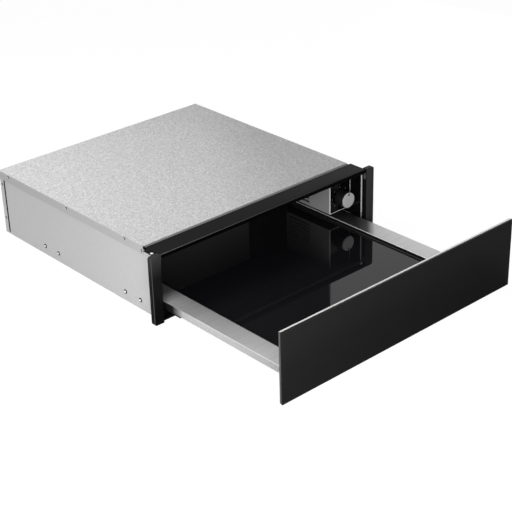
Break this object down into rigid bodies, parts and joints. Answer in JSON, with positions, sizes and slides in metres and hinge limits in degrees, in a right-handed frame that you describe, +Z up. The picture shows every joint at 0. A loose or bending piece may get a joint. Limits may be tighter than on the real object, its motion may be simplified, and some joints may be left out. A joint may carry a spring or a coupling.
{
  "type": "built-in warming drawer",
  "caption": "Built-in warming drawer with a black glass front, glass floor, inside control knob, hot-air box and ball-bearing runners.",
  "frame": {"origin": "on the underside of the housing, in the middle of its width, under the front edge of the top cover", "axes": "+X to the right seen from the front, +Y to the back of the housing, +Z up"},
  "size_m": [0.594, 0.8945, 0.1439],
  "materials": {
    "galvanised": "fine spangle, satin",
    "black_paint": "satin black",
    "black_enamel": "gloss black",
    "bright_trim": "fine brushed",
    "grey_plastic": "matt grey",
    "grey_paint": "satin grey",
    "black_glass": "gloss black, opaque",
    "switch_plastic": "matt ivory",
    "knob_plastic": "satin black",
    "spindle_steel": "turned",
    "fan_plastic": "matt black",
    "motor_steel": "satin",
    "heater_steel": "heat-tinted",
    "cutout_metal": "satin",
    "lead_jacket": "matt",
    "gland_plastic": "matt",
    "black_plastic": "matt black",
    "latch_plastic": "matt grey",
    "rail_steel": "zinc plated",
    "middle_rail_steel": "dark zinc",
    "cage_steel": "zinc plated",
    "ball_steel": "polished",
    "frame_aluminium": "satin",
    "bracket_steel": "zinc plated",
    "ledge_steel": "brushed lengthwise",
    "tray_steel": "zinc plated",
    "seal_rubber": "matt black",
    "rivet_steel": "bright",
    "screw_steel": "zinc plated",
    "beam_screw_steel": "bright"
  },
  "bodies": {
    "housing": {"base_panel": "galvanised", "left_side_panel": "galvanised", "right_side_panel": "galvanised", "back_panel": "galvanised", "top_cover": "galvanised", "front_crossbar": "galvanised", "left_rail_bracket": "galvanised", "right_rail_bracket": "galvanised", "front_beam": "black_paint", "left_post": "black_paint", "right_post": "black_paint", "side_liners": "black_enamel", "ceiling_liner": "black_enamel", "edge_trims": "bright_trim", "panel_trim": "bright_trim", "front_buffers": "grey_plastic", "control_box": "grey_paint", "louvre_panel": "grey_paint", "control_panel": "black_glass", "selector_switch": "switch_plastic", "terminal_block": "switch_plastic", "fan_frame": "fan_plastic", "fan_motor": "motor_steel", "heating_element": "heater_steel", "thermal_cutout": "cutout_metal", "mains_lead": "lead_jacket", "cable_inlet": "gland_plastic", "rail_end_blocks": "black_plastic", "latch_body": "black_plastic", "left_cabinet_rail": "rail_steel", "right_cabinet_rail": "rail_steel", "rail_rivets": "rivet_steel", "case_screws": "screw_steel", "post_screws": "screw_steel", "beam_screws": "beam_screw_steel"},
    "drawer": {"front_glass": "black_glass", "front_frame": "frame_aluminium", "front_brackets": "bracket_steel", "left_ledge": "ledge_steel", "right_ledge": "ledge_steel", "tray_pan": "tray_steel", "glass_floor": "black_glass", "floor_seal": "seal_rubber", "rear_wall": "black_enamel", "left_drawer_rail": "rail_steel", "right_drawer_rail": "rail_steel", "latch_striker": "bracket_steel", "front_screws": "screw_steel", "tray_screws": "screw_steel"},
    "middle_rails": {"left_middle_rail": "middle_rail_steel", "right_middle_rail": "middle_rail_steel"},
    "outer_cages": {"outer_ball_cages": "cage_steel", "outer_balls": "ball_steel"},
    "inner_cages": {"inner_ball_cages": "cage_steel", "inner_balls": "ball_steel"},
    "knob": {"knob_body": "knob_plastic", "knob_cap": "bright_trim", "knob_spindle": "spindle_steel"},
    "impeller": {"fan_impeller": "fan_plastic"},
    "plunger": {"latch_plunger": "latch_plastic"}
  },
  "joints": [
    {"name": "drawer_slide", "type": "slide", "parent": "housing", "child": "drawer", "axis": [0, 1, 0], "range_m": [0, 0.341]},
    {"name": "middle_rail_slide", "type": "slide", "parent": "housing", "child": "middle_rails", "axis": [0, 1, 0], "range_m": [0, 0.171]},
    {"name": "outer_cage_slide", "type": "slide", "parent": "housing", "child": "outer_cages", "axis": [0, 1, 0], "range_m": [0, 0.086]},
    {"name": "inner_cage_slide", "type": "slide", "parent": "housing", "child": "inner_cages", "axis": [0, 1, 0], "range_m": [0, 0.256]},
    {"name": "knob_turn", "type": "hinge", "parent": "housing", "child": "knob", "pos_m": [0.233, -0.02, 0.0803], "axis": [0, 1, 0], "range_deg": [0, 315]},
    {"name": "fan_spin", "type": "hinge", "parent": "housing", "child": "impeller", "pos_m": [0.25, 0.082, 0.08], "axis": [1, 0, 0], "continuous": true},
    {"name": "latch_push", "type": "slide", "parent": "housing", "child": "plunger", "axis": [0, 1, 0], "range_m": [0, 0.006], "stiffness_N_per_m": 300}
  ],
  "couplings": [
    {"joint": "middle_rail_slide", "follows": "drawer_slide", "ratio": 0.5},
    {"joint": "outer_cage_slide", "follows": "drawer_slide", "ratio": 0.25},
    {"joint": "inner_cage_slide", "follows": "drawer_slide", "ratio": 0.75}
  ]
}
